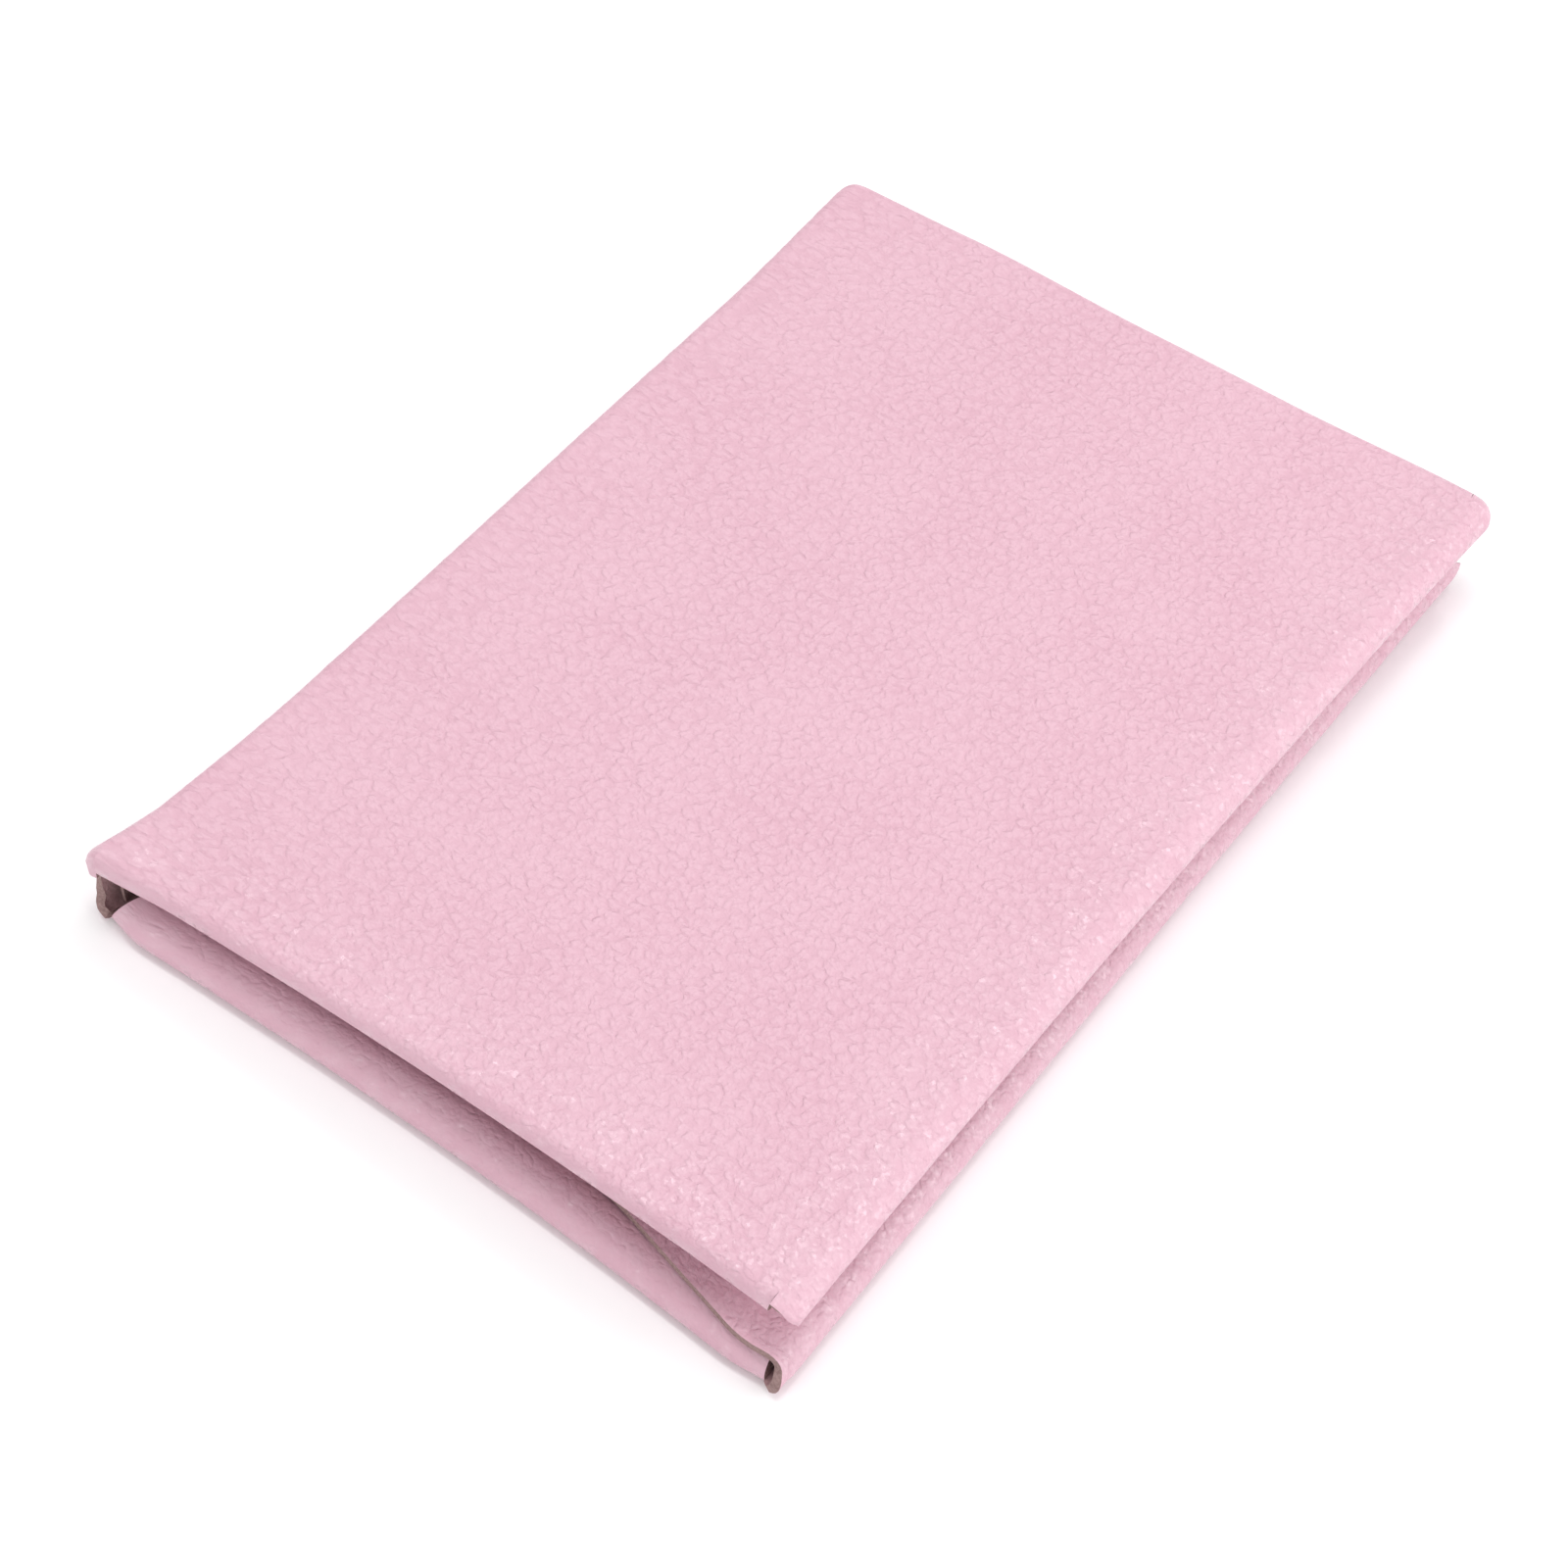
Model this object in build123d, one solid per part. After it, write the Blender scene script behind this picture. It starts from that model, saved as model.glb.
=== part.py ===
from build123d import *
import os

# Passport holder: one goatskin folded into two covers, a spine wall and two sleeves.
# Millimetres. X runs from the spine to the fore edge, Y from the tail to the head, +Z up.
# The origin is the middle of the closed holder, on the face that it rests on.

# ---- driving dimensions ----
LENGTH = 136.0  # spine direction, along Y
WIDTH = 95.0  # from the spine to the fore edge, along X
THICKNESS = 13.0  # closed, over both covers
LEATHER = 1.1  # goatskin, after splitting
BOARD = 0.6  # stiffener between the skin and the turn-ins
LINING = 0.3  # split-leather lining glued to the board
TURN_IN = 12.0  # width of the tail and head turn-ins
SLEEVE_DEPTH = 50.0  # from the fore-edge fold to the sleeve's free edge
SLEEVE_TAPER = 10.0  # how far each sleeve end runs in over that depth
SLEEVE_CLEARANCE = 0.3  # between the sleeve and the turn-ins under it
FOLD_GAP = 0.2  # each side of a mitre, where two panels meet at a fold
REINFORCEMENT = 0.6  # strip glued inside the spine wall
END_INSET = 1.0  # how far the spine wall stops short of the tail and the head
TURN_IN_MITRE = 9.0  # how far a turn-in's spine end slants in over its width

# ---- places worked out from them ----
SPINE_X = -WIDTH / 2
FORE_X = WIDTH / 2
END_Y = LENGTH / 2
BOARD_TOP = LEATHER + BOARD
TURN_IN_TOP = BOARD_TOP + LEATHER
SLEEVE_BOTTOM = TURN_IN_TOP + SLEEVE_CLEARANCE
COVER_TOP = SLEEVE_BOTTOM + LEATHER  # thickness of one cover, 4.2
EDGE_RADIUS = TURN_IN_TOP / 2  # outside of the tail and head folds
FOLD_RADIUS = COVER_TOP / 2  # outside of the fore-edge fold
PANEL_END_Y = END_Y - EDGE_RADIUS
FOLD_X = FORE_X - FOLD_RADIUS
INNER_X = SPINE_X + LEATHER + REINFORCEMENT + 1.3  # spine end of the board and lining


def prism_along_y(points, y_from, y_to):
    """A section given as (x, z) points, run along Y."""
    section = make_face(Polyline(*[(x, y_from, z) for x, z in points], close=True))
    return extrude(section, amount=y_to - y_from, dir=(0, 1, 0))


def prism_up(points, z_from, z_to):
    """A plan given as (x, y) points, run up Z."""
    plan = make_face(Polyline(*[(x, y, z_from) for x, y in points], close=True))
    return extrude(plan, amount=z_to - z_from, dir=(0, 0, 1))


def block(x_from, x_to, y_from, y_to, z_from, z_to):
    centre = Pos((x_from + x_to) / 2, (y_from + y_to) / 2, (z_from + z_to) / 2)
    return centre * Box(x_to - x_from, y_to - y_from, z_to - z_from)


def outer_panel():
    """The flat of a cover, mitred where it meets the spine wall."""
    points = [
        (SPINE_X + FOLD_GAP, 0),
        (FOLD_X, 0),
        (FOLD_X, LEATHER),
        (SPINE_X + LEATHER + FOLD_GAP, LEATHER),
    ]
    return prism_along_y(points, -PANEL_END_Y, PANEL_END_Y)


def fore_edge_fold():
    """The round bend that carries the skin from the cover over to the sleeve."""
    tube = Cylinder(FOLD_RADIUS, LENGTH) - Cylinder(FOLD_RADIUS - LEATHER, LENGTH)
    tube = Pos(FOLD_X, 0, FOLD_RADIUS) * Rot(90, 0, 0) * tube
    return tube & block(FOLD_X, FORE_X, -END_Y, END_Y, 0, COVER_TOP)


def tail_turn_in():
    """The tail edge rolled over the board, with its spine end mitred."""
    span = FOLD_X - SPINE_X
    middle_x = (FOLD_X + SPINE_X) / 2
    roll = Cylinder(EDGE_RADIUS, span) - Cylinder(EDGE_RADIUS - LEATHER, span)
    roll = Pos(middle_x, -PANEL_END_Y, EDGE_RADIUS) * Rot(0, 90, 0) * roll
    roll = roll & block(SPINE_X, FOLD_X, -END_Y, -PANEL_END_Y, 0, TURN_IN_TOP)
    leg_end_y = TURN_IN - END_Y
    leg = block(SPINE_X, FOLD_X, -PANEL_END_Y, leg_end_y, BOARD_TOP, TURN_IN_TOP)
    spine_end_x = SPINE_X + 1.0
    fore_end_x = FOLD_X - 0.4
    plan = [
        (spine_end_x, -END_Y),
        (fore_end_x, -END_Y),
        (fore_end_x, leg_end_y),
        (spine_end_x + TURN_IN_MITRE, leg_end_y),
    ]
    return (roll + leg) & prism_up(plan, 0, TURN_IN_TOP)


def stiffener_board():
    return block(INNER_X, FOLD_X - 0.4, 0.2 - PANEL_END_Y, PANEL_END_Y - 0.2, LEATHER, BOARD_TOP)


def lining():
    half_length = END_Y - TURN_IN - 0.2
    return block(INNER_X, FOLD_X - 0.9, -half_length, half_length, BOARD_TOP, BOARD_TOP + LINING)


def sleeve_panel():
    """The flap that holds the passport's cover, tapered at both ends."""
    fold_side_x = FOLD_X - 0.3
    free_edge_x = fold_side_x - SLEEVE_DEPTH
    half_length = END_Y - 0.3
    plan = [
        (fold_side_x, -half_length),
        (fold_side_x, half_length),
        (free_edge_x, half_length - SLEEVE_TAPER),
        (free_edge_x, SLEEVE_TAPER - half_length),
    ]
    return prism_up(plan, SLEEVE_BOTTOM, COVER_TOP)


def spine_panel():
    """The wall between the covers, mitred at both folds, with raw ends."""
    points = [
        (SPINE_X, FOLD_GAP),
        (SPINE_X + LEATHER, LEATHER + FOLD_GAP),
        (SPINE_X + LEATHER, THICKNESS - LEATHER - FOLD_GAP),
        (SPINE_X, THICKNESS - FOLD_GAP),
    ]
    return prism_along_y(points, END_INSET - END_Y, END_Y - END_INSET)


def spine_reinforcement():
    half_length = END_Y - END_INSET - 1.0
    fold_margin = LEATHER + 0.8
    return block(
        SPINE_X + LEATHER,
        SPINE_X + LEATHER + REINFORCEMENT,
        -half_length,
        half_length,
        fold_margin,
        THICKNESS - fold_margin,
    )


def cover_parts():
    """The pieces of one cover, lying outer face down on z = 0."""
    return {
        "outer_panel": outer_panel(),
        "fore_edge_fold": fore_edge_fold(),
        "tail_turn_in": tail_turn_in(),
        "head_turn_in": mirror(tail_turn_in(), about=Plane.XZ),
        "stiffener_board": stiffener_board(),
        "lining": lining(),
        "sleeve_panel": sleeve_panel(),
    }


os.makedirs("parts", exist_ok=True)
middle_plane = Plane.XY.offset(THICKNESS / 2)
for name, shape in cover_parts().items():
    export_step(shape, f"parts/back_{name}.step")
    export_step(mirror(shape, about=middle_plane), f"parts/front_{name}.step")
export_step(spine_panel(), "parts/spine_panel.step")
export_step(spine_reinforcement(), "parts/spine_reinforcement.step")
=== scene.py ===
import math

import bmesh
import bpy
import numpy as np
from mathutils import Matrix, Vector, noise


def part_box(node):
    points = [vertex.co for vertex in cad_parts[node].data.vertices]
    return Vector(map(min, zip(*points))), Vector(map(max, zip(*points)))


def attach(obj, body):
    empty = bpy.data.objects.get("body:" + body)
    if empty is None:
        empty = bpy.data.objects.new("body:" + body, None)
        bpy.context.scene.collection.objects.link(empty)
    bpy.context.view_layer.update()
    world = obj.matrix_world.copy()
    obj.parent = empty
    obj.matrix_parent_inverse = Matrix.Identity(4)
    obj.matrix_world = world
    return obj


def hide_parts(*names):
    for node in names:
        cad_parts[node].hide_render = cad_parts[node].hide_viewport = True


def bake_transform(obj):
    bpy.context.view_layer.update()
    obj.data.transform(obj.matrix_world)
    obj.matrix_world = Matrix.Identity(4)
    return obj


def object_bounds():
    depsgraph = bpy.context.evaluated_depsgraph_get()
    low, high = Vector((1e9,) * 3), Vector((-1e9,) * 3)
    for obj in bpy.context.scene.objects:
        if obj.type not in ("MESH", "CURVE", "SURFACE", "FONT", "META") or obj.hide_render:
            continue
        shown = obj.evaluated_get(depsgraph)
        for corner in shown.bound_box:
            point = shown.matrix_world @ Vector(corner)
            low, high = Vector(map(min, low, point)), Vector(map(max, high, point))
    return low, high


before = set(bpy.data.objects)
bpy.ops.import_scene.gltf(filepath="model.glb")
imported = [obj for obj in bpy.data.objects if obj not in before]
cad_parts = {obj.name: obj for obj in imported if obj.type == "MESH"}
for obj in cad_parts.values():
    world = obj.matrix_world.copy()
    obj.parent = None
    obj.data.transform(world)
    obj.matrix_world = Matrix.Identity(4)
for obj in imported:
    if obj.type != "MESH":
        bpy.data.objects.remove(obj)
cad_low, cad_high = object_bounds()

# A closed passport holder folded from one pale pink goatskin. Shapes are worked out in millimetres.
# Each cover is first laid out flat and square in its own x, y and w, where w is the depth below its
# grain face. bend_back and bend_front then put it in place with its slight bows, skew and flare.

MM = 0.001

# ---- sizes from the frame, in millimetres ----
SPINE_X, FORE_X = cad_low.x / MM, cad_high.x / MM
END_Y = cad_high.y / MM
THICKNESS = cad_high.z / MM
panel_low, panel_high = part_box("back_outer_panel")
LEATHER = (panel_high.z - panel_low.z) / MM
COVER_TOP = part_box("back_sleeve_panel")[1].z / MM
FREE_EDGE_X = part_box("back_sleeve_panel")[0].x / MM
turn_in_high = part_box("back_tail_turn_in")[1]
TURN_IN_TOP = turn_in_high.z / MM
TURN_IN_END_Y = turn_in_high.y / MM
board_low, board_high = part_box("back_stiffener_board")
lining_low, lining_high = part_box("back_lining")

# ---- soft shape ----
SPINE_RADIUS = 1.5  # outside of the folds beside the spine wall
FOLD_REACH = 3.2  # how far a fore-edge fold reaches past its slit
SLIT_X = FORE_X - FOLD_REACH
FOLD_TAIL = 1.2  # flat run of the skin past the fold, before the sleeve piece takes over
SLEEVE_START_X = SLIT_X - FOLD_TAIL
SLEEVE_TAPER = 10.0
SPACING = 0.85  # between grid lines on the flats
SLEEVE_RUN = SLEEVE_START_X - FREE_EDGE_X
WALL_INSET = 0.8  # the spine wall stops short of the tail and the head
SLEEVE_INSET = 1.4  # so does the sleeve side of a fore-edge fold
FORE_OVERLAP = 1.2  # how far the lower cover's rolled edges run over the ends of its fore-edge fold

# closed thickness at the corners: tail-spine, tail-fore, head-spine, head-fore
CORNER_TOPS = (10.6, 13.6, 13.2, 14.6)
TAIL_REACH = 0.9  # how far the lower cover's tail edge reaches out where it reaches least
TAIL_REACH_X = -3.0  # where that is
SPINE_SIDE_BOW, FORE_SIDE_BOW = 1.2, 1.8  # how much further it reaches, a half width away
WALL_FLARE = 1.3  # how far the spine wall's tail end kicks out

# what both covers' skins share half-way up the spine wall, where they meet
WALL_TAIL_REACH, WALL_HEAD_INSET = 0.2, 0.5
WALL_RADII = (0.65, 0.65, 2.2, 2.2)
STRIP_HEAD_INSET = 1.6  # how far the spine strip stops short of its CAD length at the head

# ---- bends of the covers, in millimetres ----
END_FROM, END_RUN = 20.0, 45.0  # the tail's and head's own shifts start here, and grow over this run
CROWN = 0.7  # how far the upper cover swells over its middle
SPINE_BOW, SPINE_BOW_WIDTH = 1.3, 25.0  # the spine side draws in over the middle of its length
SPINE_TUCK, SPINE_TUCK_RUN = 1.5, 7.0  # the lower cover's tail edge tucks in beside the spine
FORE_TUCK, FORE_TUCK_RUN = 1.0, 8.0  # and beside the fore edge
DRAWN_IN_TAIL, DRAWN_IN_HEAD = 0.1, 2.4  # its fore edge at the tail, and how much more at the head
BACK_BOW, BACK_HEAD_INSET = 0.3, 1.0  # how far its fore edge bows in, and its head edge stands back
BACK_RADII = (0.5, 0.3, 2.0, 2.5)  # of its corners, in the order of CORNER_TOPS
FRONT_FORE_BOW, FRONT_TAIL_BOW, FRONT_HEAD_BOW = 1.0, 1.0, 0.85  # the upper cover's edges bow in
FRONT_RADII = (0.8, 0.8, 2.4, 2.0)
EAR_LENGTH, EAR_WIDTH = 11.0, 9.0  # the flared corner at the spine's tail
NOSE_DEPTH, NOSE_FADE = 4.2, 2.2  # its upper part, the nose, ends at this depth and fades over this one
NOSE_FLARE, NOSE_REACH, NOSE_LIFT = 2.1, 0.3, 0.2
NOSE_DROOP, NOSE_DROOP_LENGTH, NOSE_DROOP_DEPTH = 1.2, 7.0, 3.0
WALL_INSET_FROM, WALL_INSET_RUN = 0.8, 4.5  # the depths over which the spine wall's inset grows
SLIT_INSET, SLIT_INSET_RUN = 1.5, 1.8  # the lower cover's fore-edge fold stands back beside its slit

# ---- thicknesses of the hidden sheets, in millimetres ----
LINING_THICKNESS, BOARD_THICKNESS, STRIP_THICKNESS = 0.3, 0.55, 0.55
STRIP_HEIGHT = 9.0


def smooth(t):
    t = np.clip(t, 0.0, 1.0)
    return t * t * (3.0 - 2.0 * t)


def mix(a, b, t):
    return a + (b - a) * t


def toward_tail(y):
    """0 over the middle of the length, rising to 1 near the tail."""
    return smooth((-y - END_FROM) / END_RUN)


def toward_head(y):
    """0 over the middle of the length, rising to 1 near the head."""
    return smooth((y - END_FROM) / END_RUN)


def closed_top(x, y):
    """Height of the front cover's grain face over the table."""
    across = (x - SPINE_X) / (FORE_X - SPINE_X)
    along = (y + END_Y) / (2 * END_Y)
    tail = mix(CORNER_TOPS[0], CORNER_TOPS[1], across)
    head = mix(CORNER_TOPS[2], CORNER_TOPS[3], across)
    crown = CROWN * np.sin(math.pi * np.clip(across, 0, 1)) ** 0.8
    return mix(tail, head, along) + crown


def spine_bow(x, y):
    """How far the spine side draws in over the middle of its length."""
    along = smooth((y + 66) / 30) * (1 - 0.7 * smooth((y - 40) / 30))
    return SPINE_BOW * along * (1 - smooth((x - SPINE_X) / SPINE_BOW_WIDTH))


def ear(x, y, reach_y=EAR_LENGTH):
    """1 at the spine's tail corner, fading over the skin around it."""
    from_tail = np.clip(1 - (y + END_Y) / reach_y, 0, 1.1)
    from_spine = np.clip(1 - (x - SPINE_X) / EAR_WIDTH, 0, 1.1)
    return from_tail**1.6 * from_spine


def meet_at_wall(x, y, w, own_shift, own_radii):
    """The shift along y and the corner radii, made the same for both covers half-way up the spine wall."""
    share = smooth((w - SPINE_RADIUS) / 3.5) * (1 - smooth((x - SPINE_X) / SPINE_RADIUS))
    shared_shift = -WALL_TAIL_REACH * toward_tail(y) - WALL_HEAD_INSET * toward_head(y)
    radii = [mix(own, shared, share) for own, shared in zip(own_radii, WALL_RADII)]
    return mix(own_shift, shared_shift, share), radii


class Cover:
    """How one cover is shaped. Depths and radii are in millimetres."""

    def __init__(self, name, front, fold_depths, roll_depths, roll_reach, roll_lean, curls):
        self.name = name
        self.front = front
        self.fold_depths = fold_depths  # at the tail, the middle and the head
        self.roll_depths = roll_depths  # at the spine end, the middle and the fore end
        self.roll_reach = roll_reach
        self.roll_lean = roll_lean
        self.curls = curls  # how far the folds' ends curl in, at tail-spine, tail-fore and head

    def fold_depth(self, y):
        return three_way(self.fold_depths, y / END_Y)

    def roll_depth(self, x):
        return three_way(self.roll_depths, x / FORE_X)

    def end_inset(self, side, x, w):
        """How far a fold's inner layer stops short of its outer layer at the tail (-1) or the head (1)."""
        at_wall = WALL_INSET * smooth((w - WALL_INSET_FROM) / WALL_INSET_RUN)
        depth = self.fold_depth(side * END_Y)
        at_sleeve = SLEEVE_INSET * smooth((w / depth - 0.35) / 0.65)
        if not self.front:
            beside_slit = 1 - smooth((x - SLIT_X) / SLIT_INSET_RUN)
            at_sleeve = at_sleeve + SLIT_INSET * beside_slit * (w < depth / 2)
        return np.where(x < 0, at_wall, at_sleeve)

    def end_curl(self, side, x):
        if side > 0:
            return self.curls[2] + 0 * x
        return np.where(x < 0, self.curls[0], self.curls[1])

    def wear(self, t):
        """1 where the grain is pressed smooth: round the upper cover's tail edge."""
        rolled = -t - END_Y
        if not self.front:
            return float(0.45 * smooth((rolled + 2.0) / 1.5))
        return float(smooth((rolled + 0.9) / 1.5) * (1 - smooth((rolled - 2.5) / 2)))

    def bend(self, x, y, w):
        return bend_front(x, y, w) if self.front else bend_back(x, y, w)


def three_way(values, t):
    """A parabola through the values at t = -1, 0 and 1."""
    low, middle, high = values
    t = np.clip(t, -1.0, 1.0)
    return middle + (high - low) / 2 * t + ((high + low) / 2 - middle) * t * t


def round_corners(x, y, radii):
    """Pulls the outline in at the corners: tail-spine, tail-fore, head-spine, head-fore."""
    for (sx, sy), radius in zip(((-1, -1), (1, -1), (-1, 1), (1, 1)), radii):
        in_x = np.clip(sx * x - (FORE_X - radius), 0, radius)
        in_y = np.clip(sy * y - (END_Y - radius), 0, radius)
        cut_x = radius - np.sqrt(np.maximum(radius**2 - in_y**2, 0))
        cut_y = radius - np.sqrt(np.maximum(radius**2 - in_x**2, 0))
        near_x = smooth((sx * x - (FORE_X - 3 * radius)) / (2 * radius))
        near_y = smooth((sy * y - (END_Y - 3 * radius)) / (2 * radius))
        x = x - sx * 0.6 * cut_x * near_x
        y = y - sy * 0.6 * cut_y * near_y
    return x, y


def tail_reach(x):
    """The lower cover's tail edge bows in over its middle and tucks in at both of its corners."""
    away = (x - TAIL_REACH_X) / FORE_X
    bow = np.where(away < 0, SPINE_SIDE_BOW, FORE_SIDE_BOW) * away**2
    spine_tuck = SPINE_TUCK * (1 - smooth((x - SPINE_X) / SPINE_TUCK_RUN))
    fore_tuck = FORE_TUCK * (1 - smooth((FORE_X - x) / FORE_TUCK_RUN))
    return TAIL_REACH + bow - spine_tuck - fore_tuck


def bend_back(x, y, w):
    """The lower cover: it reaches past the upper one at the tail and draws in towards the head."""
    fore = smooth((x - SPINE_X) / (FORE_X - SPINE_X))
    along = (y + END_Y) / (2 * END_Y)
    bow = BACK_BOW * (1 - (y / END_Y) ** 2)
    new_x = x - fore * (DRAWN_IN_TAIL + DRAWN_IN_HEAD * along + bow)
    shift = -toward_tail(y) * tail_reach(x) - toward_head(y) * BACK_HEAD_INSET
    shift, radii = meet_at_wall(x, y, w, shift, BACK_RADII)
    new_x, new_y = round_corners(new_x, y + shift, radii)
    return new_x + spine_bow(x, y) - WALL_FLARE * ear(x, y), new_y, w


def bend_front(x, y, w):
    """The upper cover: tilted, with bowed tail and fore edges and a flared corner at the spine's tail."""
    across = (x - SPINE_X) / (FORE_X - SPINE_X)
    z = closed_top(x, y) - w
    bow_x = FRONT_FORE_BOW * (1 - (y / END_Y) ** 2) * smooth((x - 5) / 40)
    bow_y = FRONT_TAIL_BOW * (1 - (2 * np.clip(across, 0, 1) - 1) ** 2) * toward_tail(y)
    head_bow = FRONT_HEAD_BOW * smooth((x + 28) / 28) * (1 - smooth((x - 18) / 26)) * toward_head(y)
    shift, radii = meet_at_wall(x, y, w, bow_y - head_bow, FRONT_RADII)
    new_x, new_y = round_corners(x - bow_x, y + shift, radii)
    new_x = new_x + spine_bow(x, y)
    nose = smooth((NOSE_DEPTH - w) / NOSE_FADE)
    flare = WALL_FLARE + (NOSE_FLARE - WALL_FLARE) * nose
    kick = ear(x, y)
    droop = NOSE_DROOP * ear(x, y, NOSE_DROOP_LENGTH) * smooth(w / NOSE_DROOP_DEPTH) * nose
    new_y = new_y - NOSE_REACH * kick * nose
    return new_x - flare * kick, new_y, z + NOSE_LIFT * kick * nose - droop


# ---- laying out one cover's skin ----
def skin_columns(cover, y):
    """x and w for every column of the hide at the rows y, from mid-spine round to the sleeve.

    Also gives the hide coordinate of each column, and the first and last of the columns between the slits."""
    half_wall = closed_top(SPINE_X, y) / 2
    rise = np.linspace(1, 0, 7)[:, None]
    wall_w = SPINE_RADIUS + rise * (half_wall - SPINE_RADIUS)
    wall_x = SPINE_X - 0.35 * np.sin(math.pi / 2 * wall_w / half_wall)
    wall_s = -SPINE_RADIUS * math.pi / 2 - rise[:, 0] * (THICKNESS / 2 - SPINE_RADIUS)

    turn = np.linspace(0, math.pi / 2, 7)[1:-1, None]
    arc_x = SPINE_X + SPINE_RADIUS * (1 - np.cos(turn)) + 0 * y
    arc_w = SPINE_RADIUS * (1 - np.sin(turn)) + 0 * y
    arc_s = (turn[:, 0] - math.pi / 2) * SPINE_RADIUS

    flat_from = SPINE_X + SPINE_RADIUS
    count = int((SLIT_X - flat_from) / SPACING)
    flat_x = np.linspace(flat_from, SLIT_X, count)[:, None]
    flat_s = flat_x[:, 0] - flat_from

    depth = cover.fold_depth(y)
    bend = np.linspace(0, math.pi, 17)[1:, None]
    fold_x = SLIT_X + FOLD_REACH * np.sin(bend) + 0 * y
    fold_w = depth / 2 * (1 - np.cos(bend))
    steps = np.hypot(np.diff(np.sin(np.linspace(0, math.pi, 17))) * FOLD_REACH,
                     np.diff(np.cos(np.linspace(0, math.pi, 17))) * COVER_TOP / 2)
    fold_s = flat_s[-1] + np.cumsum(steps)

    tail_run = np.linspace(0, FOLD_TAIL, 3)[1:, None]
    tail_x = SLIT_X - tail_run + 0 * y
    tail_w = depth + 0 * tail_run
    tail_s = fold_s[-1] + tail_run[:, 0]

    x = np.vstack([wall_x + 0 * y, arc_x, flat_x + 0 * y, fold_x, tail_x])
    w = np.vstack([wall_w, arc_w, 0 * flat_x + 0 * y, fold_w, tail_w])
    s = np.concatenate([wall_s, arc_s, flat_s, fold_s, tail_s])
    first = len(wall_s) + len(arc_s)
    return x, w, s, first, first + count


def roll_rows(cover, x, side, mitre):
    """The rolled edge and its turn-in for the flat columns at x. side is -1 at the tail and 1 at the head.

    Rows run outward from the flat. Gives x, y, w and the hide coordinate past the start of the roll."""
    depth = cover.roll_depth(x)[:, None]
    start_y = END_Y - cover.roll_reach
    bend = np.linspace(0, math.pi, 15)[None, :]
    lean = cover.roll_lean * ((1 - np.cos(bend)) / 2) ** 1.5
    out_y = start_y + cover.roll_reach * np.sin(bend) - lean + 0 * depth
    roll_w = depth / 2 * (1 - np.cos(bend))
    steps = np.hypot(np.diff(out_y[0]), np.diff(roll_w[0]))
    roll_t = np.concatenate([[0], np.cumsum(steps)])

    leg = np.linspace(0, 1, 10)[None, 1:]
    leg_from = start_y - cover.roll_lean
    leg_run = leg_from - abs(TURN_IN_END_Y)
    leg_y = leg_from - leg * leg_run + 0 * depth
    leg_w = mix(depth, TURN_IN_TOP, smooth(leg * leg_run / 5.0))
    leg_t = roll_t[-1] + leg[0] * leg_run

    t = np.concatenate([roll_t, leg_t])
    y = np.hstack([out_y, leg_y])
    w = np.hstack([roll_w, leg_w])
    spine_end = x[0] + mitre * np.maximum(t - 1.0, 0)
    fore_end = x[-1] + (FORE_OVERLAP if cover.name == "back" else 0.0) * smooth(t / 2.5) - 0.12 * t
    across = ((x - x[0]) / (x[-1] - x[0]))[:, None]
    return mix(spine_end, fore_end, across), side * y, w, t


def stretch(s):
    """The hide coordinate squeezed where the grain is drawn out, which is most beside the spine."""
    fine = np.linspace(-30, 180, 2101)
    rate = 1 / (1.12 + 1.0 * np.exp(-np.maximum(fine, 0) / 16.0))
    total = np.concatenate([[0], np.cumsum((rate[1:] + rate[:-1]) / 2 * np.diff(fine))])
    return np.interp(s, fine, total)


def skin_patches(cover):
    """The grids that make up a cover's skin. Each is (x, y, w, s, t), by column and row."""
    start_y = END_Y - cover.roll_reach
    rows = np.linspace(-start_y, start_y, int(2 * start_y / SPACING))
    x, w, s, first, last = skin_columns(cover, rows)
    y = np.broadcast_to(rows, x.shape)
    patches = [(x, y, w, s, rows)]
    for side in (-1, 1):
        end_x, end_y, end_w, end_t = fold_ends(cover, side)
        for part in (slice(0, first + 1), slice(last - 1, None)):
            patches.append((end_x[part], end_y[part], end_w[part], s[part], end_t))
        mitre = 0.08 if cover.front else 0.42
        roll_x, roll_y, roll_w, t = roll_rows(cover, x[first:last, 0], side, mitre)
        t = side * (start_y + t)
        if side < 0:
            roll_x, roll_y, roll_w, t = roll_x[:, ::-1], roll_y[:, ::-1], roll_w[:, ::-1], t[::-1]
        patches.append((roll_x, roll_y, roll_w, s[first:last], t))
    return patches


def fold_ends(cover, side):
    """The last rows of the folds, past the start of the rolls: x, y, w and the rows' hide coordinate."""
    start_y = END_Y - cover.roll_reach
    share = np.linspace(0, 1, 6)[::side]
    t = side * (start_y + share * cover.roll_reach)
    x, w, _, _, _ = skin_columns(cover, t)
    y = side * (start_y + share * (cover.roll_reach - cover.end_inset(side, x, w)))
    half_depth = cover.roll_depth(x) / 2
    drop = cover.end_curl(side, x) * half_depth * (1 - np.sqrt(1 - share**2))
    w = w + drop * np.clip(1 - w / (2 * half_depth), 0, 1)
    return x, y, w, t


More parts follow.
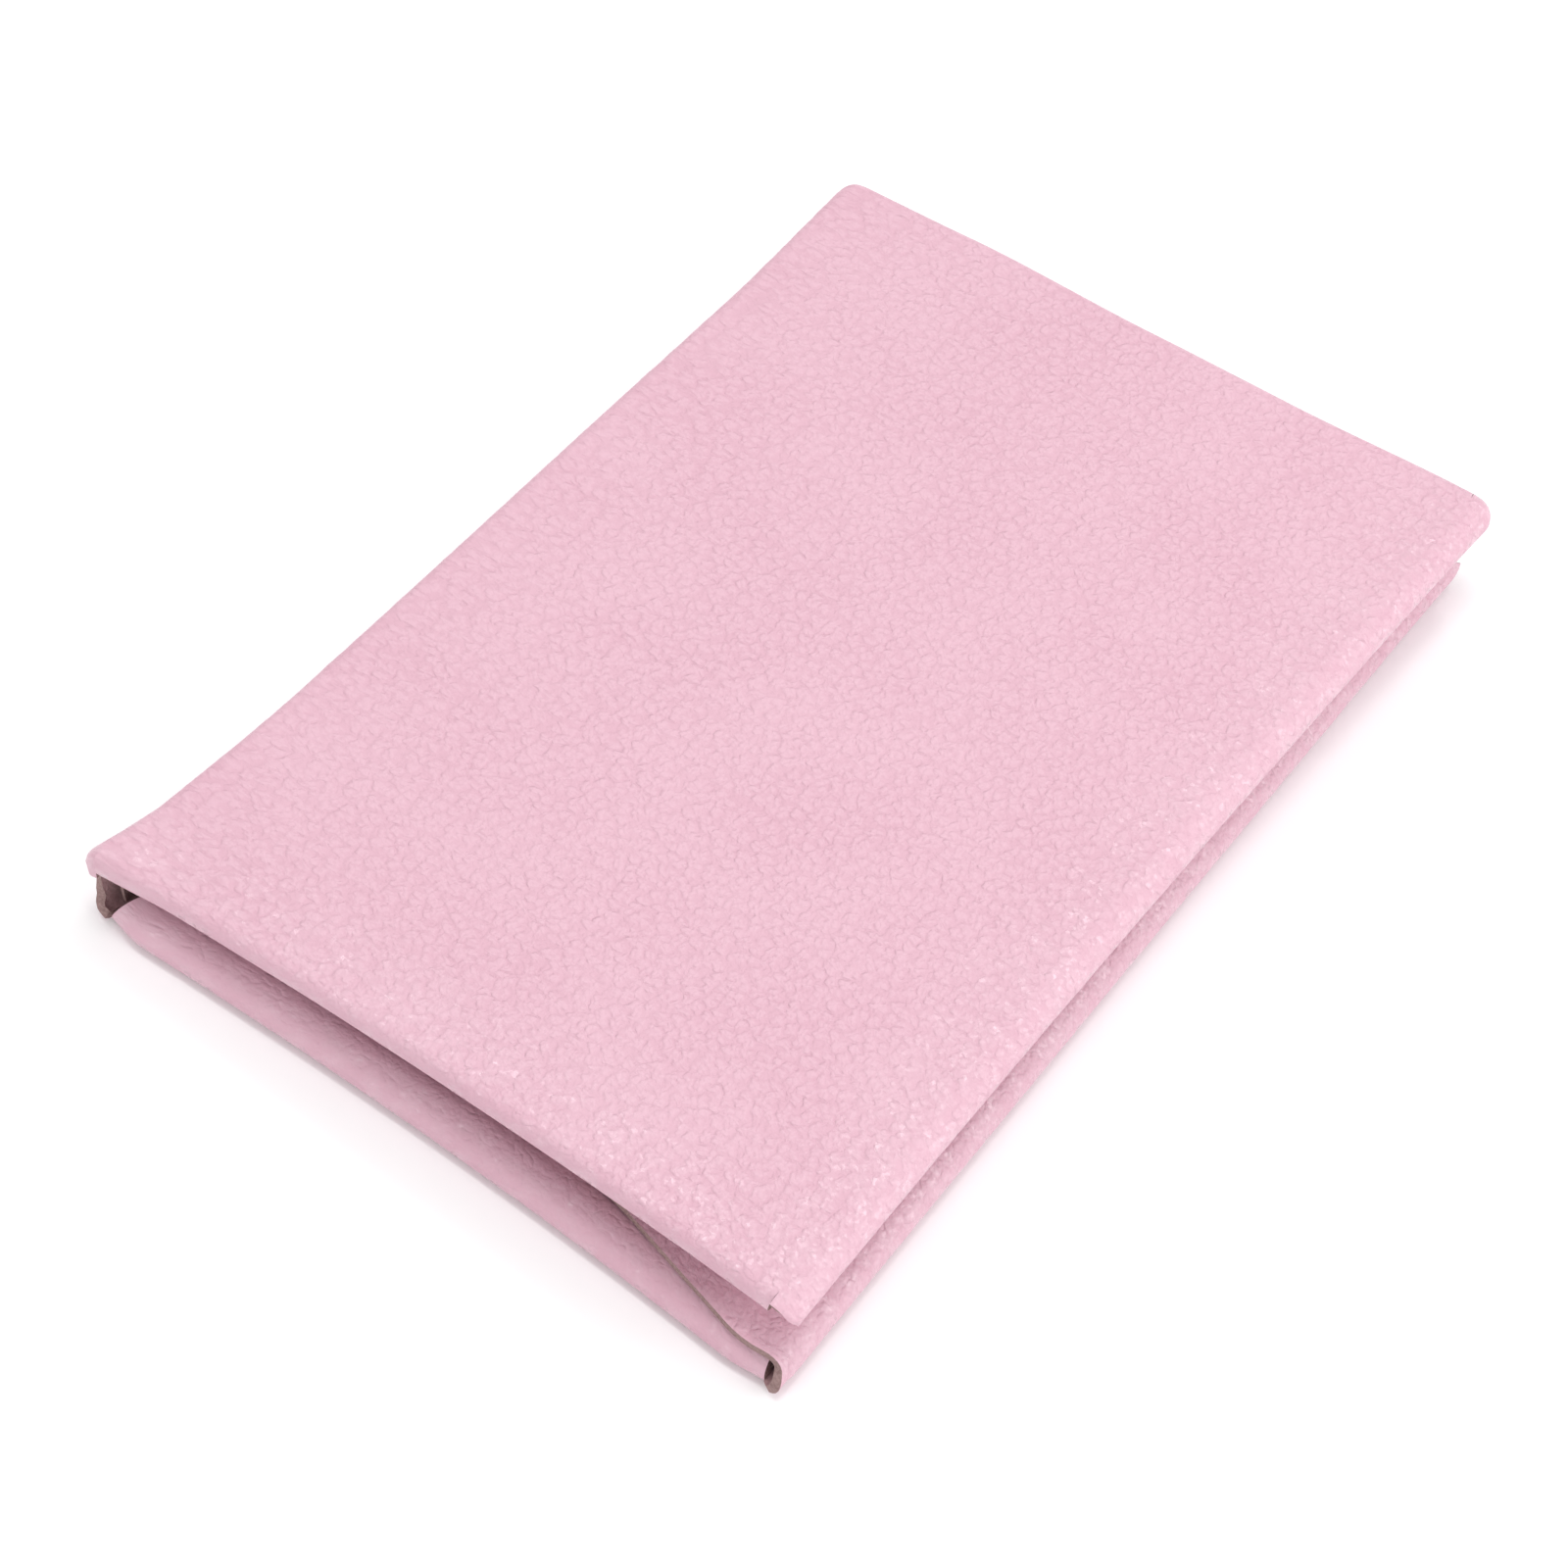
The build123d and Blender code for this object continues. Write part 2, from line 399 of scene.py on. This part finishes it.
def sleeve_patches(cover):
    """The sleeve, from the end of the skin's fold to its free edge, tapered at both ends."""
    start_y = END_Y - cover.roll_reach
    end_y = END_Y - SLEEVE_INSET
    middle = np.linspace(-start_y, start_y, int(2 * start_y / SPACING))
    past = np.linspace(start_y, end_y, 6)[1:]
    rows = np.concatenate([-past[::-1], middle, past])
    run = np.linspace(0, SLEEVE_RUN, int(SLEEVE_RUN / SPACING))[:, None]
    share = run / SLEEVE_RUN
    y = rows * (1 - share**1.15 * SLEEVE_TAPER / END_Y)
    x = SLEEVE_START_X - run + 0 * y
    flat_w = mix(cover.fold_depth(y), COVER_TOP, smooth(run / 18.0))
    over_roll = cover.roll_depth(x) + LEATHER + 0.15
    near_end = smooth((np.abs(y) - (END_Y - 11.0)) / 6.0)
    w = np.where(over_roll > flat_w, mix(flat_w, over_roll, near_end * smooth(run / 6.0)), flat_w)
    s = FOLD_TAIL + fold_end_s() + run[:, 0]
    return [(x, y, w, s, rows)]


def fold_end_s():
    return SLIT_X - SPINE_X - SPINE_RADIUS + math.pi * (FOLD_REACH + COVER_TOP / 2) / 2


# ---- meshes ----
def ripple(s, t):
    """Fine creases that run from the spine towards the fore edge, in millimetres."""
    fade = 0.25 + 0.75 * math.exp(-max(s, 0) / 30.0)
    folds = noise.noise(Vector((s * 0.07, t * 0.42, 3.1)))
    folds = folds + 0.6 * noise.noise(Vector((s * 0.13, t * 0.9, 7.7)))
    swell = noise.noise(Vector((s * 0.03, t * 0.03, 11.0)))
    calm = math.exp(min(s, 0) / 3.0)  # the spine wall, where s is below 0, lies flat
    return calm * (0.085 * fade * folds + 0.12 * swell)


def grain_mesh(name, cover, patches, relief):
    """Puts the patches into one mesh, grain side out, with the hide coordinates as its UV map; weld joins
    them afterwards.
    """
    mesh = bpy.data.meshes.new(name)
    points, faces, uvs, hide, wear = [], [], [], [], []
    for x, y, w, s, t in patches:
        base = len(points)
        bx, by, bz = cover.bend(x, y, w)
        flat = np.stack([bx, by, bz + 0 * bx], -1).reshape(-1, 3) * MM
        points.extend(flat.tolist())
        columns, rows = x.shape
        u = stretch(s)
        worn = [cover.wear(value) for value in t]
        for c in range(columns):
            hide.extend((s[c], t[r]) for r in range(rows))
            wear.extend(worn)
        for c in range(columns - 1):
            for r in range(rows - 1):
                a = base + c * rows + r
                ring = [(a, c, r), (a + rows, c + 1, r), (a + rows + 1, c + 1, r + 1), (a + 1, c, r + 1)]
                if not cover.front:
                    ring.reverse()
                faces.append([v for v, _, _ in ring])
                uvs.extend((u[i] * MM, t[j] * MM) for _, i, j in ring)
    mesh.from_pydata(points, [], faces)
    layer = mesh.uv_layers.new(name="hide")
    layer.data.foreach_set("uv", np.array(uvs, np.float32).ravel())
    normals = np.array([v.normal for v in mesh.vertices])
    lift = np.array([ripple(s, t) for s, t in hide]) * relief * MM
    moved = np.array(points) + normals * lift[:, None]
    moved[:, 2] = np.maximum(moved[:, 2], 0.0)
    mesh.vertices.foreach_set("co", moved.astype(np.float32).ravel())
    worn = mesh.attributes.new("wear", "FLOAT", "POINT")
    worn.data.foreach_set("value", np.array(wear, np.float32))
    return mesh


def weld(mesh):
    """Joins the patches along their shared grid lines, at the average of the two sides."""
    bm = bmesh.new()
    bm.from_mesh(mesh)
    bmesh.ops.remove_doubles(bm, verts=bm.verts, dist=0.02 * MM)
    bm.to_mesh(mesh)
    bm.free()


def shell(name, cover, patches, materials, thickness=LEATHER, relief=1.0):
    """A closed piece of leather: grain outside, flesh side inside and cut edges round its rim."""
    mesh = grain_mesh(name, cover, patches, relief)
    weld(mesh)
    piece = bpy.data.objects.new(name, mesh)
    bpy.context.collection.objects.link(piece)
    for material in materials:
        mesh.materials.append(material)
    thicken = piece.modifiers.new("thickness", "SOLIDIFY")
    thicken.thickness = thickness * MM
    thicken.offset = -1
    thicken.material_offset = 1
    thicken.material_offset_rim = 2
    applied = bpy.data.meshes.new_from_object(piece.evaluated_get(bpy.context.evaluated_depsgraph_get()))
    piece.modifiers.clear()
    piece.data = applied
    applied.name = name
    applied.shade_smooth()
    applied.set_sharp_from_angle(angle=math.radians(50))
    rest = applied.attributes.new("rest", "FLOAT_VECTOR", "POINT")
    co = np.zeros(len(applied.vertices) * 3, np.float32)
    applied.vertices.foreach_get("co", co)
    rest.data.foreach_set("vector", co)
    return piece


# ---- materials ----
class Tree:
    """A short way to write a material's nodes."""

    def __init__(self, name):
        self.material = bpy.data.materials.new(name)
        self.material.use_nodes = True
        self.tree = self.material.node_tree
        self.tree.nodes.clear()
        self.out = self.tree.nodes.new("ShaderNodeOutputMaterial")
        self.shader = self.tree.nodes.new("ShaderNodeBsdfPrincipled")
        self.tree.links.new(self.shader.outputs["BSDF"], self.out.inputs["Surface"])

    def node(self, kind, inputs=(), **settings):
        made = self.tree.nodes.new("ShaderNode" + kind)
        for key, value in settings.items():
            setattr(made, key, value)
        for key, value in dict(inputs).items():
            self.feed(made.inputs[key], value)
        return made

    def feed(self, socket, value):
        if isinstance(value, bpy.types.NodeSocket):
            self.tree.links.new(value, socket)
        else:
            socket.default_value = value

    def math(self, operation, a, b=0.0, clamp=False):
        made = self.node("Math", {0: a, 1: b}, operation=operation, use_clamp=clamp)
        return made.outputs[0]

    def fade(self, value, low, high, to_low=0.0, to_high=1.0):
        made = self.node("MapRange", {"Value": value, "From Min": low, "From Max": high,
                                      "To Min": to_low, "To Max": to_high}, interpolation_type="SMOOTHSTEP")
        return made.outputs["Result"]

    def blend(self, share, a, b, mode="MIX"):
        made = self.node("Mix", {0: share, 6: a, 7: b}, data_type="RGBA", blend_type=mode)
        return made.outputs[2]

    def hide_mm(self):
        """The hide coordinates, in millimetres."""
        uv = self.node("UVMap", uv_map="hide").outputs["UV"]
        return self.node("VectorMath", {0: uv, "Scale": 1000.0}, operation="SCALE").outputs["Vector"]

    def rest_mm(self):
        """The place on the closed piece, in millimetres, which doesn't slide as the piece bends."""
        at = self.node("Attribute", attribute_name="rest").outputs["Vector"]
        return self.node("VectorMath", {0: at, "Scale": 1000.0}, operation="SCALE").outputs["Vector"]

    def noise(self, vector, scale, detail=2.0, rough=0.5, dims="3D"):
        made = self.node("TexNoise", {"Vector": vector, "Scale": scale, "Detail": detail, "Roughness": rough},
                         noise_dimensions=dims)
        return made.outputs["Fac"]


GRAIN_DEPTH = 0.11  # millimetres
PINK = (0.73, 0.455, 0.54, 1)
# painted shade: the darker pink laid into the grain's valleys and wrinkles and onto the low sides of its
# pebbles
PINK_VALLEY_SHADE = (0.62, 0.335, 0.42, 1)
PINK_PALE = (0.76, 0.50, 0.58, 1)


def wander(t, at, scale, reach):
    """Pushes a coordinate about, so that nothing laid out over it runs straight."""
    push = t.node("TexNoise", {"Vector": at, "Scale": scale, "Detail": 2.0, "Roughness": 0.5})
    push = push.outputs["Color"]
    push = t.node("VectorMath", {0: push, 1: (0.5, 0.5, 0.5)}, operation="SUBTRACT").outputs["Vector"]
    push = t.node("VectorMath", {0: push, "Scale": reach}, operation="SCALE").outputs["Vector"]
    return t.node("VectorMath", {0: at, 1: push}, operation="ADD").outputs["Vector"]


def pebbles(t, at, scale):
    """Rounded cells: 1 on a cell's top, falling away to its edge."""
    cell = t.node("TexVoronoi", {"Vector": at, "Scale": scale, "Randomness": 0.9, "Smoothness": 0.25},
                  voronoi_dimensions="2D", feature="SMOOTH_F1").outputs["Distance"]
    return t.fade(cell, 0.2, 0.72, 1.0, 0.0)


def creases(t, at, scale, width, patch_scale):
    """Shallow valleys between cells, deeper in some patches than in others. 1 in a valley."""
    edge = t.node("TexVoronoi", {"Vector": at, "Scale": scale, "Randomness": 0.9},
                  voronoi_dimensions="2D", feature="DISTANCE_TO_EDGE").outputs["Distance"]
    patch = t.fade(t.noise(at, patch_scale, 2.0, 0.6), 0.4, 0.65, 0.0, 1.0)
    return t.math("MULTIPLY", t.fade(edge, 0.0, width, 1.0, 0.0), patch)


def glints(t, hide):
    """Small glossy facets, each tilted its own way, which catch a light here and there."""
    facet = t.node("TexVoronoi", {"Vector": wander(t, hide, 1.5, 0.6), "Scale": 2.7, "Randomness": 1.0},
                   voronoi_dimensions="2D", feature="F1").outputs["Color"]
    tilt = t.node("VectorMath", {0: facet, 1: (0.5, 0.5, 0.5)}, operation="SUBTRACT").outputs["Vector"]
    tilt = t.node("VectorMath", {0: tilt, "Scale": 0.5}, operation="SCALE").outputs["Vector"]
    facing = t.node("NewGeometry").outputs["Normal"]
    tilted = t.node("VectorMath", {0: facing, 1: tilt}, operation="ADD").outputs["Vector"]
    return t.node("VectorMath", {0: tilted}, operation="NORMALIZE").outputs["Vector"]


def handled_edges(t, hide):
    """1 along the tail and fore edges, where hands have polished the leather, and little elsewhere."""
    place = t.node("SeparateXYZ", {"Vector": hide})
    fore_edge = FORE_X - SPINE_X - SPINE_RADIUS
    near, far = stretch(np.array([fore_edge - 2.0, fore_edge - 16.0])).tolist()
    fore = t.fade(place.outputs["X"], far, near)
    tail = t.math("SUBTRACT", 1.0, t.fade(place.outputs["Y"], 2.0 - END_Y, 15.0 - END_Y))
    return t.math("MAXIMUM", t.math("MAXIMUM", fore, tail), 0.12)


def grain_leather():
    """Goatskin: soft rounded pebbles with shallow valleys, fine wrinkles beside the spine, a light gloss;
    painted shade darkens the valleys, the wrinkles and the low sides of the pebbles.
    """
    t = Tree("goatskin_grain")
    hide = t.hide_mm()
    at = wander(t, hide, 0.5, 1.3)
    large = creases(t, at, 0.78, 0.22, 0.9)
    domes = pebbles(t, at, 0.78)
    small = pebbles(t, at, 1.7)

    drawn = t.node("VectorMath", {0: hide, 1: (0.22, 1.0, 1.0)}, operation="MULTIPLY").outputs["Vector"]
    folds = t.noise(wander(t, drawn, 0.5, 0.9), 0.75, 2.0, 0.5)
    folds = t.fade(t.math("ABSOLUTE", t.math("SUBTRACT", folds, 0.5)), 0.0, 0.09, 1.0, 0.0)
    from_spine = t.node("SeparateXYZ", {"Vector": hide}).outputs["X"]
    wrinkle = t.math("MULTIPLY", folds, t.fade(from_spine, 2.0, 24.0, 0.35, 0.0))

    wear = t.node("Attribute", attribute_name="wear").outputs["Fac"]
    kept = t.math("SUBTRACT", 1.0, t.math("MULTIPLY", wear, 0.85))
    valley = t.math("MULTIPLY", t.math("MAXIMUM", large, wrinkle), kept)
    fine = t.math("MULTIPLY", t.noise(hide, 2.6, 3.0, 0.6), 0.8)
    tops = t.math("ADD", t.math("MULTIPLY", domes, 0.55), t.math("MULTIPLY", small, 0.4))
    tops = t.math("MULTIPLY", t.math("ADD", tops, fine), kept)
    height = t.math("SUBTRACT", tops, t.math("MULTIPLY", valley, 0.4))
    bump = t.node("Bump", {"Height": height, "Strength": 1.0, "Distance": GRAIN_DEPTH * MM})

    # Painted shade: the colour darkens towards the darker valley pink in the valleys and wrinkles, and on the
    # low sides of the pebbles.
    low = t.fade(tops, 0.75, 1.25, 0.35, 0.0)
    colour = t.blend(t.math("MAXIMUM", t.math("MULTIPLY", valley, 0.55), low), PINK, PINK_VALLEY_SHADE)
    broad = t.fade(t.noise(hide, 0.06, 2.0), 0.3, 0.7, 0.0, 0.3)
    colour = t.blend(broad, colour, PINK_PALE)
    t.feed(t.shader.inputs["Base Color"], colour)
    t.shader.inputs["Roughness"].default_value = 0.55
    t.feed(t.shader.inputs["Normal"], bump.outputs["Normal"])
    t.shader.inputs["Specular IOR Level"].default_value = 0.35

    t.feed(t.shader.inputs["Coat Normal"], glints(t, hide))
    patch = t.fade(t.noise(hide, 0.5, 2.0, 0.6), 0.42, 0.6, 0.1, 1.0)
    t.feed(t.shader.inputs["Coat Weight"], t.math("MULTIPLY", patch, handled_edges(t, hide)))
    t.shader.inputs["Coat Roughness"].default_value = 0.24
    return t.material


def brown_leather(name, dark, light, grit, height):
    """The brushed flesh side, and a cut edge: matt brown with a felted or layered nap."""
    t = Tree(name)
    at = t.rest_mm()
    nap = t.noise(at, grit, 4.0, 0.65)
    patch = t.noise(at, 0.25, 2.0)
    colour = t.blend(t.fade(nap, 0.25, 0.75), dark, light)
    colour = t.blend(t.fade(patch, 0.3, 0.7, 0.0, 0.35), colour, light)
    bump = t.node("Bump", {"Height": nap, "Strength": 0.8, "Distance": height * MM})
    t.feed(t.shader.inputs["Base Color"], colour)
    t.feed(t.shader.inputs["Normal"], bump.outputs["Normal"])
    t.shader.inputs["Roughness"].default_value = 0.85
    t.shader.inputs["Specular IOR Level"].default_value = 0.25
    return t.material


def floor_material():
    t = Tree("floor")
    t.shader.inputs["Base Color"].default_value = (0.97, 0.97, 0.97, 1)
    t.shader.inputs["Roughness"].default_value = 0.9
    t.shader.inputs["Specular IOR Level"].default_value = 0.1
    return t.material


GRAIN = grain_leather()
FLESH = brown_leather("flesh_side", (0.27, 0.15, 0.16, 1), (0.43, 0.26, 0.27, 1), 2.2, 0.15)
CUT = brown_leather("cut_edge", (0.20, 0.12, 0.115, 1), (0.42, 0.28, 0.27, 1), 3.5, 0.1)
LINING = brown_leather("lining", (0.22, 0.13, 0.13, 1), (0.36, 0.23, 0.225, 1), 3.0, 0.1)
BOARD = brown_leather("fibre_board", (0.27, 0.18, 0.16, 1), (0.40, 0.29, 0.26, 1), 4.0, 0.05)

# ---- the pieces ----
BACK = Cover("back", False, (5.2, 5.4, 4.8), (4.6, 4.7, 4.0), 2.6, 1.4, (0.3, 0.0, 1.0))
FRONT = Cover("front", True, (3.4, 4.3, 4.2), (3.3, 3.3, 3.3), 1.7, 0.1, (1.7, 0.1, 1.0))


def slab_patch(low, high, w_face):
    """A plain rectangular sheet at depth w_face, from a CAD box."""
    xs = np.linspace(low.x / MM, high.x / MM, 45)[:, None]
    ys = np.linspace(low.y / MM, high.y / MM, 61)
    x = xs + 0 * ys
    y = ys + 0 * xs
    return [(x, y, w_face + 0 * x, x[:, 0] - SPINE_X, ys)]


class Flipped:
    """A cover seen from its inside, for sheets whose good side faces in."""

    def __init__(self, cover):
        self.front = not cover.front
        self.bend = cover.bend

    def wear(self, t):
        return 0.0


def cover_pieces(cover):
    side = cover.name
    skin = shell(f"{side}_skin", cover, skin_patches(cover), (GRAIN, FLESH, CUT))
    nodes = ["outer_panel", "fore_edge_fold", "tail_turn_in", "head_turn_in"]
    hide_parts(*[f"{side}_{node}" for node in nodes])

    sleeve = shell(f"{side}_sleeve", cover, sleeve_patches(cover), (GRAIN, FLESH, CUT))
    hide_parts(f"{side}_sleeve_panel")

    inside = Flipped(cover)
    lining_face = slab_patch(lining_low, lining_high, lining_high.z / MM)
    lining = shell(f"{side}_lining_sheet", inside, lining_face, (LINING, LINING, CUT),
                   thickness=LINING_THICKNESS, relief=0.5)
    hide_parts(f"{side}_lining")
    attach(lining, f"{side}_cover")

    board_face = slab_patch(board_low, board_high, board_high.z / MM)
    board = shell(f"{side}_board", inside, board_face, (BOARD, BOARD, BOARD),
                  thickness=BOARD_THICKNESS, relief=0.0)
    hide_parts(f"{side}_stiffener_board")
    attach(board, f"{side}_cover")
    return skin, sleeve


back_skin, back_sleeve = cover_pieces(BACK)
front_skin, front_sleeve = cover_pieces(FRONT)


def bend_strip(x, y, z):
    """Keeps the spine strip against the inside of the spine wall."""
    return x + spine_bow(x, y) - WALL_FLARE * ear(x, y), y - STRIP_HEAD_INSET * toward_head(y), z


def spine_strip():
    """The brown strip glued inside the spine wall."""
    low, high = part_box("spine_reinforcement")
    ys = np.linspace(low.y / MM, high.y / MM, 80)
    rise = np.linspace(0, 1, 9)[:, None]
    margin = low.z / MM
    z = margin + rise * (closed_top(SPINE_X, ys) - 2 * margin)
    x = high.x / MM + 0 * z
    y = ys + 0 * z
    upright = Flipped(BACK)
    upright.bend = bend_strip
    piece = shell("spine_strip", upright, [(x, y, z, rise[:, 0] * STRIP_HEIGHT, ys)],
                  (LINING, LINING, CUT), thickness=STRIP_THICKNESS, relief=0.4)
    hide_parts("spine_reinforcement")
    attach(piece, "spine")
    return piece


spine_strip()
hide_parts("spine_panel")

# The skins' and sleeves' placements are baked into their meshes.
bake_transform(back_skin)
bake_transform(front_skin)
for sleeve, side in ((back_sleeve, "back"), (front_sleeve, "front")):
    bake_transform(sleeve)


# ---- floor, light and camera ----
def make_floor():
    mesh = bpy.data.meshes.new("floor")
    reach = 3.0
    mesh.from_pydata([(-reach, -reach, 0), (reach, -reach, 0), (reach, reach, 0), (-reach, reach, 0)],
                     [], [(0, 1, 2, 3)])
    mesh.materials.append(floor_material())
    floor = bpy.data.objects.new("floor", mesh)
    bpy.context.collection.objects.link(floor)


def softbox(name, place, size, power):
    light = bpy.data.lights.new(name, "AREA")
    light.shape = "RECTANGLE"
    light.size, light.size_y = size
    light.energy = power
    lamp = bpy.data.objects.new(name, light)
    lamp.location = place
    lamp.rotation_euler = (-Vector(place)).to_track_quat("-Z", "Y").to_euler()
    bpy.context.collection.objects.link(lamp)


def make_light():
    world = bpy.data.worlds.new("studio")
    world.use_nodes = True
    world.node_tree.nodes["Background"].inputs["Color"].default_value = (1, 1, 1, 1)
    world.node_tree.nodes["Background"].inputs["Strength"].default_value = 0.76
    bpy.context.scene.world = world
    softbox("key", (0.95, 0.25, 0.5), (0.6, 0.6), 4.0)
    softbox("top", (0.06, 0.03, 1.0), (0.32, 0.32), 2.3)
    softbox("tail glint", (-0.37, 0.04, 0.93), (0.11, 0.11), 0.6)
    softbox("fore edge glint", (0.07, 0.5, 0.86), (0.11, 0.11), 0.6)
    softbox("lower tail glint", (-0.37, -0.76, 0.49), (0.11, 0.11), 0.4)


def make_camera():
    """A long lens over the holder's tail and fore edge, turned slightly about its own axis."""
    place = Vector((0.1423, -0.1992, 0.3017))
    target = Vector((0.0, -0.00737, 0.0))
    roll = math.radians(1.063)
    ahead = (target - place).normalized()
    right = ahead.cross(Vector((0, 0, 1))).normalized()
    up = right.cross(ahead)
    turned_right = right * math.cos(roll) + up * math.sin(roll)
    turned_up = up * math.cos(roll) - right * math.sin(roll)
    data = bpy.data.cameras.new("camera")
    data.sensor_width = 36.0
    data.lens = 77.6
    data.clip_start = 0.01
    camera = bpy.data.objects.new("camera", data)
    bpy.context.collection.objects.link(camera)
    turn = Matrix((turned_right, turned_up, -ahead)).transposed().to_4x4()
    camera.matrix_world = Matrix.Translation(place) @ turn
    bpy.context.scene.camera = camera


make_floor()
make_light()
make_camera()
bpy.context.scene.view_settings.view_transform = "Standard"
